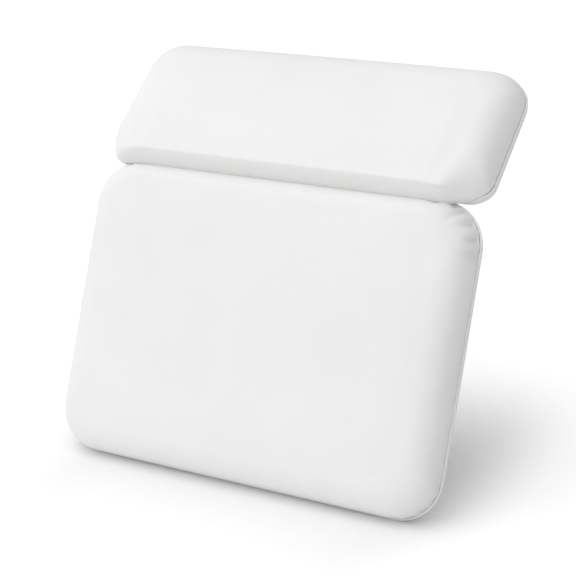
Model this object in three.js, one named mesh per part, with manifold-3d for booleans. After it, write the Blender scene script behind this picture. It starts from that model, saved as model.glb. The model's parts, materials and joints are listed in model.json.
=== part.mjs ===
// A two-panel bath pillow. A small head panel is hinged above a larger back panel by a folded strip
// of vinyl behind their seams. Each panel is a foam core in a front and a rear cover, joined at a
// welted seam, and each suction cup turns in an eyelet of the rear cover.
//
// Millimetres. +X runs along the width, +Y backwards and +Z up. The origin is the middle of the
// plane that the back panel's cups press on, where the tub's sloping wall holds the pillow.
import * as THREE from 'three';
import { mergeVertices } from 'three/addons/utils/BufferGeometryUtils.js';
import Module from 'manifold-3d';

// Panels, seen from the front
const PANEL_WIDTH = 340;
const BACK_HEIGHT = 244;
const HEAD_HEIGHT = 118;
const BACK_CORNER_RADIUS = 34;
const HEAD_UPPER_CORNER_RADIUS = 26;
const HEAD_LOWER_CORNER_RADIUS = 18;

// Panel section, from the front to the rear. The thickness is the sum of these depths.
const CROWN = 5;
const EDGE_DEPTH = 24.5;
const WALL_DEPTH = 1.5;
const SEAM_HALF_WIDTH = 2.6;
const RIM_DEPTH = 1.8;
const REAR_EDGE_RADIUS = 4;

// How far the front's rounded edge reaches inwards, and how far the seam is drawn in
const EDGE_INSET = 33;
const SEAM_TUCK = 2.8;

// Skin, seam and the clearance between pieces that touch
const SKIN = 1.5;
const WELT_RADIUS = 0.9;
const FIT_GAP = 0.3;

// The pose in use: the back panel's lean from upright, and the head panel's fold behind it
const LEAN = THREE.MathUtils.degToRad(20);
const FOLD = THREE.MathUtils.degToRad(30);

// Hinge strip, and the slopes of the rear covers' edges that it lies on, from square. Together the
// slopes set how far the head panel folds back.
const HINGE_GAP = 0.6;
const BACK_BEVEL = THREE.MathUtils.degToRad(65);
const HEAD_BEVEL = THREE.MathUtils.degToRad(15);
const WEB_WIDTH = 258;
const WEB_THICKNESS = 1.2;

// Suction cups, with their eyelets and inner washers
const CUP_RADIUS = 23;
const CUP_HEIGHT = 15;
const CUP_RIM_WIDTH = 3;
const CUP_WALL = 3;
const CUP_SHOULDER_RADIUS = 10;
const CUP_NECK_RADIUS = 4.8;
const CUP_HEAD_RADIUS = 8.5;
const CUP_HEAD_TIP_RADIUS = 6;
const CUP_HEAD_HEIGHT = 3.4;
const EYELET_RADIUS = 14;
const EYELET_THICKNESS = 1.6;
const COLLAR_WALL = 1.6;
const NECK_CLEARANCE = 0.6;
const WASHER_RADIUS = 13;
const WASHER_THICKNESS = 1.5;

// Cup axes, measured in from the panels' edges
const BACK_CUP_SIDE_MARGIN = 62;
const BACK_CUP_END_MARGIN = 59;
const HEAD_CUP_SIDE_MARGIN = 74;
const HEAD_CUP_TOP_MARGIN = 59;

// Fineness of the facets
const CORNER_STEPS = 5;
const SIDE_STEPS = 4;
const EDGE_STEPS = 5;
const REAR_STEPS = 2;
const WELT_SIDES = 6;
const CUP_SIDES = 18;
const EYELET_SIDES = 14;
const CROWN_RINGS = [0.38, 0.72];

// Depths that follow from the section
const EDGE_END = CROWN + EDGE_DEPTH;
const WALL_END = EDGE_END + WALL_DEPTH;
const SEAM_DEPTH = WALL_END + SEAM_HALF_WIDTH;
const RIM_START = SEAM_DEPTH + SEAM_HALF_WIDTH;
const REAR_START = RIM_START + RIM_DEPTH;
const THICKNESS = REAR_START + REAR_EDGE_RADIUS;

// The welt lies in the seam's groove, clear of both of its slopes
const GROOVE_ANGLE = Math.atan2(SEAM_HALF_WIDTH, SEAM_TUCK);
const WELT_INSET = SEAM_TUCK - (WELT_RADIUS + FIT_GAP) / Math.sin(GROOVE_ANGLE);
const WELT_PROUD = Math.max(0, WELT_RADIUS - WELT_INSET);

// The hinge line lies just behind the seams
const HINGE_DEPTH = RIM_START;
const HINGE_REACH = HINGE_GAP / 2 + WELT_PROUD;

// The stack of pieces at each cup, measured from the rear cover's outer face
const COLLAR_BORE = CUP_NECK_RADIUS + NECK_CLEARANCE;
const COLLAR_RADIUS = COLLAR_BORE + COLLAR_WALL;
const COVER_HOLE_RADIUS = COLLAR_RADIUS + FIT_GAP;
const COLLAR_LENGTH = SKIN + FIT_GAP + WASHER_THICKNESS;
const EYELET_TOP = FIT_GAP + EYELET_THICKNESS;
const CUP_HEAD_SEAT = COLLAR_LENGTH + FIT_GAP;
const POCKET_DEPTH = CUP_HEAD_SEAT + CUP_HEAD_HEIGHT + FIT_GAP;
const POCKET_RADIUS = Math.max(WASHER_RADIUS, CUP_HEAD_RADIUS) + FIT_GAP;

const wasm = await Module();
wasm.setup();

const vinyl = new THREE.MeshStandardMaterial({ color: 0xf2f2f0, roughness: 0.5, metalness: 0 });
const foam = new THREE.MeshStandardMaterial({ color: 0xf1e6c8, roughness: 0.95, metalness: 0 });
const cupPlastic = new THREE.MeshStandardMaterial({ color: 0xdfe6e8, roughness: 0.2, metalness: 0 });
const hardPlastic = new THREE.MeshStandardMaterial({ color: 0xe9e9e6, roughness: 0.4, metalness: 0 });

/**
 * A panel's outline, drawn in by inset, as [x, z] points that run anticlockwise. The corners keep
 * their radius as the outline is drawn in, so the front is rounder at its corners than at its sides.
 */
function outline(panel, inset) {
  const corners = [[1, 1], [-1, 1], [-1, -1], [1, -1]];
  const arcs = corners.map(([signX, signZ], quarter) => {
    const radius = signZ > 0 ? panel.upperCorner : panel.lowerCorner;
    const reachX = PANEL_WIDTH / 2 - inset - radius;
    const reachZ = panel.height / 2 - inset - radius;
    const arc = [];
    for (let step = 0; step <= CORNER_STEPS; step += 1) {
      const angle = (quarter + step / CORNER_STEPS) * (Math.PI / 2);
      const x = signX * reachX + radius * Math.cos(angle);
      const z = panel.height / 2 + signZ * reachZ + radius * Math.sin(angle);
      arc.push([x, z]);
    }
    return arc;
  });
  const points = [];
  arcs.forEach((arc, quarter) => {
    points.push(...arc);
    const start = arc[CORNER_STEPS];
    const end = arcs[(quarter + 1) % arcs.length][0];
    for (let step = 1; step < SIDE_STEPS; step += 1) {
      const share = step / SIDE_STEPS;
      points.push([0, 1].map((axis) => start[axis] + (end[axis] - start[axis]) * share));
    }
  });
  return points;
}

/**
 * One ring of a panel's surface: its outline at an inset, laid at a depth from the front. A hinge
 * draw pulls the side at the hinge further in, and fades out round that side's corners.
 */
function ring(panel, [inset, depth, hingeDraw = 0]) {
  const upwards = panel.hingedAbove ? 1 : -1;
  const corner = panel.hingedAbove ? panel.upperCorner : panel.lowerCorner;
  const hingeSide = panel.height / 2 + upwards * (panel.height / 2 - inset);
  return outline(panel, inset).map(([x, z]) => {
    const share = Math.max(0, 1 - Math.abs(hingeSide - z) / corner);
    return new THREE.Vector3(x, depth, z - upwards * hingeDraw * share);
  });
}

/** The middle of a panel at a depth from the front. */
function middle(panel, depth) {
  return new THREE.Vector3(0, depth, panel.height / 2);
}

/** Rings over the crowned front, from near the middle out to the start of the rounded edge. */
function crownRings(panel, offset) {
  const edge = outline(panel, EDGE_INSET);
  const centre = panel.height / 2;
  return CROWN_RINGS.map((share) => edge.map(([x, z]) => {
    const depth = CROWN * share * share + offset;
    return new THREE.Vector3(x * share, depth, centre + (z - centre) * share);
  }));
}

/** The front cover's section as [inset, depth] points, from the rounded edge to the seam. */
function frontSection() {
  const section = [];
  for (let step = 0; step <= EDGE_STEPS; step += 1) {
    const angle = (step / EDGE_STEPS) * (Math.PI / 2);
    section.push([EDGE_INSET * (1 - Math.sin(angle)), CROWN + EDGE_DEPTH * (1 - Math.cos(angle))]);
  }
  section.push([0, WALL_END], [SEAM_TUCK, SEAM_DEPTH - FIT_GAP / 2]);
  return section;
}

/** The rear cover's section as [inset, depth] points, from the seam to its flat rear face. */
function rearSection() {
  const section = [[SEAM_TUCK, SEAM_DEPTH + FIT_GAP / 2], [0, RIM_START]];
  for (let step = 0; step <= REAR_STEPS; step += 1) {
    const angle = (step / REAR_STEPS) * (Math.PI / 2);
    const inset = REAR_EDGE_RADIUS * (1 - Math.cos(angle));
    section.push([inset, REAR_START + REAR_EDGE_RADIUS * Math.sin(angle)]);
  }
  return section;
}

/** Moves a section inwards by a distance, square to its own slope at each point. */
function drawIn(section, distance, startNormal, endNormal) {
  const last = section.length - 1;
  return section.map(([inset, depth], index) => {
    const before = section[Math.max(index - 1, 0)];
    const after = section[Math.min(index + 1, last)];
    let normal = new THREE.Vector2(after[1] - before[1], before[0] - after[0]).normalize();
    if (index === 0) normal = startNormal;
    if (index === last) normal = endNormal;
    return [inset + normal.x * distance, depth + normal.y * distance];
  });
}

/** Adds the hinge draw to a section that lies a distance inside the rear cover's bevelled edge. */
function bevelled(panel, section, distance) {
  const clear = (FIT_GAP + WEB_THICKNESS / 2 + distance) / Math.cos(panel.bevel) - HINGE_REACH;
  return section.map(([inset, depth]) => {
    const bevelInset = clear + (depth - HINGE_DEPTH) * Math.tan(panel.bevel);
    return [inset, depth, Math.max(0, bevelInset - inset)];
  });
}

const TOWARDS_REAR = new THREE.Vector2(0, 1);
const TOWARDS_FRONT = new THREE.Vector2(0, -1);
const TOWARDS_MIDDLE = new THREE.Vector2(1, 0);

/** Joins rings of equal count into a closed body, with a point at each end. */
function loft(firstPoint, rings, lastPoint) {
  const count = rings[0].length;
  const points = [firstPoint, ...rings.flat(), lastPoint];
  const at = (row, column) => 1 + row * count + (column % count);
  const index = [];
  for (let column = 0; column < count; column += 1) {
    index.push(0, at(0, column), at(0, column + 1));
    index.push(points.length - 1, at(rings.length - 1, column + 1), at(rings.length - 1, column));
  }
  for (let row = 0; row + 1 < rings.length; row += 1) {
    stitch(index, count, (column) => at(row, column), (column) => at(row + 1, column));
  }
  return indexed(points, index);
}

/** Joins rings of equal count into a closed hoop, the last ring to the first. */
function hoop(rings) {
  const count = rings[0].length;
  const at = (row, column) => (row % rings.length) * count + (column % count);
  const index = [];
  for (let row = 0; row < rings.length; row += 1) {
    stitch(index, count, (column) => at(row, column), (column) => at(row + 1, column));
  }
  return indexed(rings.flat(), index);
}

/** Adds the two triangles of each facet between one ring and the next. */
function stitch(index, count, near, far) {
  for (let column = 0; column < count; column += 1) {
    index.push(near(column), far(column), near(column + 1));
    index.push(far(column), far(column + 1), near(column + 1));
  }
}

/** A geometry from points and triangle indices. */
function indexed(points, index) {
  const geometry = new THREE.BufferGeometry().setFromPoints(points);
  geometry.setIndex(index);
  geometry.computeVertexNormals();
  return geometry;
}

/** A geometry with shared vertices merged and collapsed triangles left out. */
function welded(geometry) {
  const bare = geometry.clone();
  bare.deleteAttribute('normal');
  bare.deleteAttribute('uv');
  const merged = mergeVertices(bare);
  const index = [];
  for (let i = 0; i < merged.index.count; i += 3) {
    const [a, b, c] = [0, 1, 2].map((corner) => merged.index.getX(i + corner));
    if (a !== b && b !== c && c !== a) index.push(a, b, c);
  }
  merged.setIndex(index);
  merged.computeVertexNormals();
  return merged;
}

/** A solid for cutting, from a closed geometry. */
function solid(geometry) {
  const shape = welded(geometry);
  return new wasm.Manifold(new wasm.Mesh({
    numProp: 3,
    vertProperties: new Float32Array(shape.attributes.position.array),
    triVerts: new Uint32Array(shape.index.array),
  }));
}

/** The geometry with each of the cutters taken out of it. */
function cut(geometry, cutters) {
  const result = cutters.reduce((body, cutter) => body.subtract(solid(cutter)), solid(geometry));
  const mesh = result.getMesh();
  const cutGeometry = new THREE.BufferGeometry();
  cutGeometry.setAttribute('position', new THREE.BufferAttribute(mesh.vertProperties, mesh.numProp));
  cutGeometry.setIndex(new THREE.BufferAttribute(mesh.triVerts, 1));
  cutGeometry.computeVertexNormals();
  return cutGeometry;
}

/** A round hole's cutter about a cup's axis, between two depths from the panel's front. */
function holeCutter(place, radius, fromDepth, toDepth) {
  const cylinder = new THREE.CylinderGeometry(radius, radius, toDepth - fromDepth, EYELET_SIDES);
  return cylinder.translate(place.x, (fromDepth + toDepth) / 2, place.z);
}

/** The crowned front cover: a skin that is open towards the rear. */
function frontCover(panel) {
  const outer = frontSection();
  const inner = drawIn(outer, SKIN, TOWARDS_REAR, TOWARDS_MIDDLE);
  const rings = [
    ...crownRings(panel, 0),
    ...outer.map((point) => ring(panel, point)),
    ...inner.reverse().map((point) => ring(panel, point)),
    ...crownRings(panel, SKIN).reverse(),
  ];
  return loft(middle(panel, 0), rings, middle(panel, SKIN));
}

/** The rear cover: a shallow pan with a hole for each eyelet's collar. */
function rearCover(panel) {
  const outer = bevelled(panel, rearSection(), 0);
  const inner = bevelled(panel, drawIn(rearSection(), SKIN, TOWARDS_MIDDLE, TOWARDS_FRONT), SKIN);
  const rings = [...inner.reverse(), ...outer].map((point) => ring(panel, point));
  const pan = loft(middle(panel, THICKNESS - SKIN), rings, middle(panel, THICKNESS));
  const inside = THICKNESS - 2 * SKIN;
  const outside = THICKNESS + SKIN;
  return cut(pan, panel.cups.map((cup) => holeCutter(cup, COVER_HOLE_RADIUS, inside, outside)));
}

/** The foam core, which fills both covers and has a pocket behind each cup. */
function foamCore(panel) {
  const inset = SKIN + FIT_GAP;
  const front = drawIn(frontSection(), inset, TOWARDS_REAR, TOWARDS_MIDDLE);
  const rear = bevelled(panel, drawIn(rearSection(), inset, TOWARDS_MIDDLE, TOWARDS_FRONT), inset);
  const rings = [...crownRings(panel, inset), ...[...front, ...rear].map((point) => ring(panel, point))];
  const core = loft(middle(panel, inset), rings, middle(panel, THICKNESS - inset));
  return cut(core, panel.cups.map((cup) => (
    holeCutter(cup, POCKET_RADIUS, THICKNESS - POCKET_DEPTH, THICKNESS)
  )));
}

/** The welt: a bead round the panel, in the groove where the two covers meet. */
function seamWelt(panel) {
  const rings = [];
  for (let side = 0; side < WELT_SIDES; side += 1) {
    const angle = ((side + 0.5) / WELT_SIDES) * Math.PI * 2;
    const inset = WELT_INSET - WELT_RADIUS * Math.sin(angle);
    rings.push(ring(panel, [inset, SEAM_DEPTH - WELT_RADIUS * Math.cos(angle)]));
  }
  return hoop(rings);
}

/** A turned piece about a cup's axis, from [radius, depth behind the rear cover] points. */
function turned(profile, place, sides) {
  const points = profile.map(([radius, depth]) => new THREE.Vector2(radius, THICKNESS + depth));
  return welded(new THREE.LatheGeometry(points, sides).translate(place.x, 0, place.z));
}

/** A suction cup: a mushroom head inside the cover, a neck, and the flared cup behind it. */
function suctionCup(place) {
  const headEnd = -CUP_HEAD_SEAT - CUP_HEAD_HEIGHT;
  const shoulder = EYELET_TOP + FIT_GAP;
  const rimInner = CUP_RADIUS - CUP_RIM_WIDTH;
  const flareStart = shoulder + CUP_WALL;
  return turned([
    [0, headEnd],
    [CUP_HEAD_TIP_RADIUS, headEnd],
    [CUP_HEAD_RADIUS, headEnd + CUP_HEAD_HEIGHT / 2],
    [CUP_HEAD_RADIUS, -CUP_HEAD_SEAT],
    [CUP_NECK_RADIUS, -CUP_HEAD_SEAT],
    [CUP_NECK_RADIUS, shoulder],
    [CUP_SHOULDER_RADIUS, shoulder],
    [(CUP_SHOULDER_RADIUS + CUP_RADIUS) / 2, (flareStart + CUP_HEIGHT) / 2 - CUP_WALL / 2],
    [CUP_RADIUS, CUP_HEIGHT],
    [rimInner, CUP_HEIGHT],
    [rimInner / 2, (flareStart + CUP_HEIGHT) / 2],
    [0, flareStart],
  ], place, CUP_SIDES);
}

/** An eyelet: a flange on the rear cover and a collar through it, which the cup's neck turns in. */
function eyelet(place) {
  const profile = [
    [COLLAR_BORE, -COLLAR_LENGTH],
    [COLLAR_RADIUS, -COLLAR_LENGTH],
    [COLLAR_RADIUS, FIT_GAP],
    [EYELET_RADIUS, FIT_GAP],
    [EYELET_RADIUS - EYELET_THICKNESS / 2, EYELET_TOP],
    [COLLAR_BORE, EYELET_TOP],
  ];
  return turned([...profile, profile[0]], place, EYELET_SIDES);
}

/** A washer that grips the eyelet's collar inside the rear cover. */
function innerWasher(place) {
  const bore = COLLAR_RADIUS + FIT_GAP;
  const seat = -SKIN - FIT_GAP;
  const profile = [
    [bore, seat - WASHER_THICKNESS],
    [WASHER_RADIUS, seat - WASHER_THICKNESS],
    [WASHER_RADIUS, seat],
    [bore, seat],
  ];
  return turned([...profile, profile[0]], place, EYELET_SIDES);
}

/** The hinge strip, folded at the hinge line, with a leg on each rear cover's bevelled edge. */
function hingeWeb() {
  const half = WEB_THICKNESS / 2;
  const backSlope = -BACK_BEVEL;
  const headSlope = HEAD_BEVEL - FOLD;
  const along = (slope, length) => new THREE.Vector2(Math.cos(slope), Math.sin(slope)).multiplyScalar(length);
  const across = (slope) => along(slope + Math.PI / 2, half);
  const mitre = along((headSlope + backSlope) / 2, half / Math.sin((headSlope - backSlope) / 2));
  const backEnd = along(backSlope, (THICKNESS - HINGE_DEPTH) / Math.cos(BACK_BEVEL) - FIT_GAP);
  const headEnd = along(headSlope, (THICKNESS - HINGE_DEPTH) / Math.cos(HEAD_BEVEL) - FIT_GAP);
  const section = new THREE.Shape([
    backEnd.clone().sub(across(backSlope)),
    backEnd.clone().add(across(backSlope)),
    mitre,
    headEnd.clone().sub(across(headSlope)),
    headEnd.clone().add(across(headSlope)),
    mitre.clone().negate(),
  ]);
  const strip = new THREE.ExtrudeGeometry(section, { depth: WEB_WIDTH, bevelEnabled: false });
  strip.translate(0, 0, -WEB_WIDTH / 2);
  const alongWidth = new THREE.Matrix4().makeBasis(
    new THREE.Vector3(0, 1, 0),
    new THREE.Vector3(0, 0, 1),
    new THREE.Vector3(1, 0, 0),
  );
  return welded(strip.applyMatrix4(alongWidth));
}

/** A named mesh in one of the pillow's materials. */
function piece(name, geometry, material) {
  const mesh = new THREE.Mesh(geometry, material);
  mesh.name = name;
  return mesh;
}

/** All the pieces of one panel, in the panel's own place: front at y = 0, lower edge at z = 0. */
function panelPieces(panel) {
  const pieces = [
    piece(`${panel.name}_front_cover`, frontCover(panel), vinyl),
    piece(`${panel.name}_rear_cover`, rearCover(panel), vinyl),
    piece(`${panel.name}_foam_core`, foamCore(panel), foam),
    piece(`${panel.name}_seam_welt`, seamWelt(panel), vinyl),
  ];
  panel.cups.forEach((cup) => {
    pieces.push(
      piece(`${panel.name}_suction_cup_${cup.side}`, suctionCup(cup), cupPlastic),
      piece(`${panel.name}_eyelet_${cup.side}`, eyelet(cup), hardPlastic),
      piece(`${panel.name}_washer_${cup.side}`, innerWasher(cup), hardPlastic),
    );
  });
  return pieces;
}

const backCupX = PANEL_WIDTH / 2 - BACK_CUP_SIDE_MARGIN;
const backCupTop = BACK_HEIGHT - BACK_CUP_END_MARGIN;
const headCupX = PANEL_WIDTH / 2 - HEAD_CUP_SIDE_MARGIN;
const headCupZ = HEAD_HEIGHT - HEAD_CUP_TOP_MARGIN;

const backPanel = {
  name: 'back',
  height: BACK_HEIGHT,
  hingedAbove: true,
  bevel: BACK_BEVEL,
  upperCorner: BACK_CORNER_RADIUS,
  lowerCorner: BACK_CORNER_RADIUS,
  cups: [
    { side: 'upper_left', x: -backCupX, z: backCupTop },
    { side: 'upper_right', x: backCupX, z: backCupTop },
    { side: 'middle', x: 0, z: BACK_HEIGHT / 2 },
    { side: 'lower_left', x: -backCupX, z: BACK_CUP_END_MARGIN },
    { side: 'lower_right', x: backCupX, z: BACK_CUP_END_MARGIN },
  ],
};

const headPanel = {
  name: 'head',
  height: HEAD_HEIGHT,
  hingedAbove: false,
  bevel: HEAD_BEVEL,
  upperCorner: HEAD_UPPER_CORNER_RADIUS,
  lowerCorner: HEAD_LOWER_CORNER_RADIUS,
  cups: [
    { side: 'left', x: -headCupX, z: headCupZ },
    { side: 'right', x: headCupX, z: headCupZ },
  ],
};

// The head panel turns on the hinge line, just behind the seam of the back panel's upper edge.
const headPlace = new THREE.Group();
headPlace.position.set(0, -HINGE_DEPTH, HINGE_REACH);
headPlace.add(...panelPieces(headPanel));

const foldedHead = new THREE.Group();
foldedHead.rotation.x = -FOLD;
foldedHead.add(headPlace);

const hinge = new THREE.Group();
hinge.position.set(0, HINGE_DEPTH, BACK_HEIGHT + HINGE_REACH);
hinge.add(foldedHead, piece('hinge_web', hingeWeb(), vinyl));

// The back panel is shifted so that the middle of its cup plane is at the origin, then leans back.
const backPlace = new THREE.Group();
backPlace.position.set(0, -THICKNESS - CUP_HEIGHT, -BACK_HEIGHT / 2);
backPlace.add(...panelPieces(backPanel), hinge);

const pillow = new THREE.Group();
pillow.rotation.x = -LEAN;
pillow.add(backPlace);

const bathPillow = new THREE.Group();
bathPillow.add(pillow);

export default bathPillow;
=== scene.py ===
"""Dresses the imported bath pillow: vinyl covers, welted seams, foam, hinge strip and suction cups.

Metres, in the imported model's frame: +X along the width, +Y backwards and +Z up. Each panel is shaped
in its own place first, with its front at y = 0 and its lower edge at z = 0, and then put where it is.
"""

import json
import logging
import math
import random
from abc import ABC, abstractmethod
from collections.abc import Callable, Iterable, Iterator, Mapping, Sequence
from dataclasses import dataclass, field
from enum import Enum
from typing import ClassVar, NamedTuple

import bmesh
import bpy
from mathutils import Matrix, Vector, noise

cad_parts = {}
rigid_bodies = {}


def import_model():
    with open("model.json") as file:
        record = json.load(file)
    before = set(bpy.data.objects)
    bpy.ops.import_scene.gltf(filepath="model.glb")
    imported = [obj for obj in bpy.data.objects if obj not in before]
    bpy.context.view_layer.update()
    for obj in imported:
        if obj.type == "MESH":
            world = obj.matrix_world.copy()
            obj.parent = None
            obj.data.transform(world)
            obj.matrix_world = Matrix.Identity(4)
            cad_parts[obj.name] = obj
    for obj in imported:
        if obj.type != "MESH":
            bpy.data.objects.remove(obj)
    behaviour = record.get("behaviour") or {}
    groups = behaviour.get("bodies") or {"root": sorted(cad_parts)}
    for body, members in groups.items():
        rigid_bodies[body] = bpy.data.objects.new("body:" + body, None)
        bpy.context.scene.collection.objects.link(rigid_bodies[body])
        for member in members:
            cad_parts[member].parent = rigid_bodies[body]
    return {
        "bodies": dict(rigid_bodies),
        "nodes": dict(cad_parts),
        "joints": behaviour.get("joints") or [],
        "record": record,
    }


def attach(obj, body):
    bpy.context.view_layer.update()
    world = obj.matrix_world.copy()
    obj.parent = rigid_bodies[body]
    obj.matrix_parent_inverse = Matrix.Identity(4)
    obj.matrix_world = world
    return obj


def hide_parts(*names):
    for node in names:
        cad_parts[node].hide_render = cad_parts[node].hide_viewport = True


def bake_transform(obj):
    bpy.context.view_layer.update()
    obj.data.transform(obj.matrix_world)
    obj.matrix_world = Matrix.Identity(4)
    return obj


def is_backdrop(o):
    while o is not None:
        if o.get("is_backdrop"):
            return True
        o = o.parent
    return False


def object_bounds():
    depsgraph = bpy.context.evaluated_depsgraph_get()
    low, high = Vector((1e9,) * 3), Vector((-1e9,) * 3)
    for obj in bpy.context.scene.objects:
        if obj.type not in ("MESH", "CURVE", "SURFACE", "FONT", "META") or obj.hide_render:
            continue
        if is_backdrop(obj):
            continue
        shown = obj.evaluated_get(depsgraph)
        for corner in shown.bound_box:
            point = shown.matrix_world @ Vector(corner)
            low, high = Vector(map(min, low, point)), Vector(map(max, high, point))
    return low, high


LOG = logging.getLogger("bath_pillow")
PAINTED_SHADE = "painted_shade"
MERGE_DISTANCE = 1e-6
HALF_CORNER = math.pi / 4
SUBDIVIDED = ("SUBSURF", {"levels": 1, "render_levels": 1, "boundary_smooth": "PRESERVE_CORNERS"})

# Where the sockets that are used stand on nodes that have several alike.
WORLD_DIRECTION = 0
OBJECT_POINT = 3
ATTRIBUTE_FACTOR = 2
CAMERA_RAY = 0
GLOSSY_RAY = 3
TRANSMISSION_RAY = 6
MIX_FACTOR = 0
MIX_FIRST_COLOUR = 6
MIX_SECOND_COLOUR = 7


class Slot(Enum):
    """The record's material slots."""

    VINYL = "white_vinyl"
    FOAM = "cushion_foam"
    PVC = "clear_pvc"
    PLASTIC = "white_plastic"


class Corner(Enum):
    """A panel's corners, as the signs of their x and z seen from the panel's middle."""

    LOWER_LEFT = (-1, -1)
    LOWER_RIGHT = (1, -1)
    UPPER_RIGHT = (1, 1)
    UPPER_LEFT = (-1, 1)


def smoothstep(low: float, high: float, value: float) -> float:
    """Eases from 0 at low to 1 at high."""
    share = min(max((value - low) / (high - low), 0.0), 1.0)
    return share * share * (3.0 - 2.0 * share)


def in_scene(name: str, data: bpy.types.ID) -> bpy.types.Object:
    """Puts a mesh, curve, camera or lamp into the scene.

    Args:
        name: the object's name.
        data: what the object holds.

    Returns:
        The object.
    """
    holder = bpy.data.objects.new(name, data)
    bpy.context.scene.collection.objects.link(holder)
    return holder


class Wire:
    """A shader socket that takes part in Python arithmetic."""

    def __init__(self, bench: "NodeBench", socket: bpy.types.NodeSocket) -> None:
        """Wraps an output socket of a node on a bench."""
        self.bench = bench
        self.socket = socket

    def _math(self, operation: str, first: "Wire | float", second: "Wire | float") -> "Wire":
        """Adds a Math node for one operation."""
        return self.bench.node("ShaderNodeMath", {"operation": operation}, {0: first, 1: second})[0]

    def __add__(self, other: "Wire | float") -> "Wire":
        """This value plus another."""
        return self._math("ADD", self, other)

    def __sub__(self, other: "Wire | float") -> "Wire":
        """This value less another."""
        return self._math("SUBTRACT", self, other)

    def __mul__(self, other: "Wire | float") -> "Wire":
        """This value times another."""
        return self._math("MULTIPLY", self, other)

    def __radd__(self, other: float) -> "Wire":
        """A number plus this value."""
        return self._math("ADD", other, self)

    def __rsub__(self, other: float) -> "Wire":
        """A number less this value."""
        return self._math("SUBTRACT", other, self)

    def __rmul__(self, other: float) -> "Wire":
        """A number times this value."""
        return self._math("MULTIPLY", other, self)


class NodeBench:
    """A node tree under construction."""

    def __init__(self, owner: bpy.types.Material | bpy.types.World) -> None:
        """Clears the nodes of an owner, so that every node is made here.

        Args:
            owner: the material or world.
        """
        owner.use_nodes = True
        self.tree = owner.node_tree
        self.tree.nodes.clear()

    def node(
        self,
        kind: str,
        settings: Mapping[str, object] | None = None,
        sockets: Mapping[str | int, object] | None = None,
    ) -> list[Wire]:
        """Adds one node.

        Args:
            kind: the node's type.
            settings: its properties, which are set before its sockets are filled.
            sockets: a value or a wire for each of its inputs, by name or number.

        Returns:
            The node's outputs that are in use, in order.
        """
        node = self.tree.nodes.new(kind)
        for key, value in (settings or {}).items():
            setattr(node, key, value)
        for key, value in (sockets or {}).items():
            if isinstance(value, Wire):
                self.tree.links.new(value.socket, node.inputs[key])
            else:
                node.inputs[key].default_value = value
        return [Wire(self, output) for output in node.outputs if output.enabled]

    def place(self) -> Wire:
        """The point on the surface, in the object's own coordinates."""
        return self.node("ShaderNodeTexCoord")[OBJECT_POINT]

    def noise(self, where: Wire, scale: float, detail: float = 2.0) -> Wire:
        """A noise value over a surface, from 0 to 1."""
        sockets = {"Vector": where, "Scale": scale, "Detail": detail}
        return self.node("ShaderNodeTexNoise", None, sockets)[0]

    def cells(self, where: Wire, scale: float, feature: str) -> Wire:
        """The distance value of a cell pattern over a surface."""
        sockets = {"Vector": where, "Scale": scale}
        return self.node("ShaderNodeTexVoronoi", {"feature": feature}, sockets)[0]

    def mix(self, factor: Wire, first: Wire | tuple, second: Wire | tuple) -> Wire:
        """A colour between two, by a factor."""
        sockets = {MIX_FACTOR: factor, MIX_FIRST_COLOUR: first, MIX_SECOND_COLOUR: second}
        return self.node("ShaderNodeMix", {"data_type": "RGBA"}, sockets)[0]

    def vector(self, operation: str, first: Wire, second: Sequence[float] = (0.0, 0.0, 0.0)) -> Wire:
        """The result of a Vector Math node."""
        return self.node("ShaderNodeVectorMath", {"operation": operation}, {0: first, 1: second})[0]

    def clamp(self, value: Wire) -> Wire:
        """A value held between 0 and 1."""
        return self.node("ShaderNodeClamp", None, {"Value": value})[0]

    def bump(self, height: Wire, strength: float, distance: float) -> Wire:
        """A normal tilted by a height."""
        sockets = {"Height": height, "Strength": strength, "Distance": distance}
        return self.node("ShaderNodeBump", None, sockets)[0]


class Finish(ABC):
    """A finish of the pillow: a material with one Principled shader."""

    slot: ClassVar[Slot]

    def material(self) -> bpy.types.Material:
        """Makes the material, named for its slot.

        Returns:
            The finished material.
        """
        material = bpy.data.materials.new(self.slot.value)
        bench = NodeBench(material)
        shader = bench.node("ShaderNodeBsdfPrincipled", None, self.sockets(bench))[0]
        bench.node("ShaderNodeOutputMaterial", None, {"Surface": shader})
        return material

    @abstractmethod
    def sockets(self, bench: NodeBench) -> dict[str, object]:
        """Works out what the shader's sockets get.

        Args:
            bench: the material's nodes.

        Returns:
            A value or a wire for each socket that is set.
        """


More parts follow.
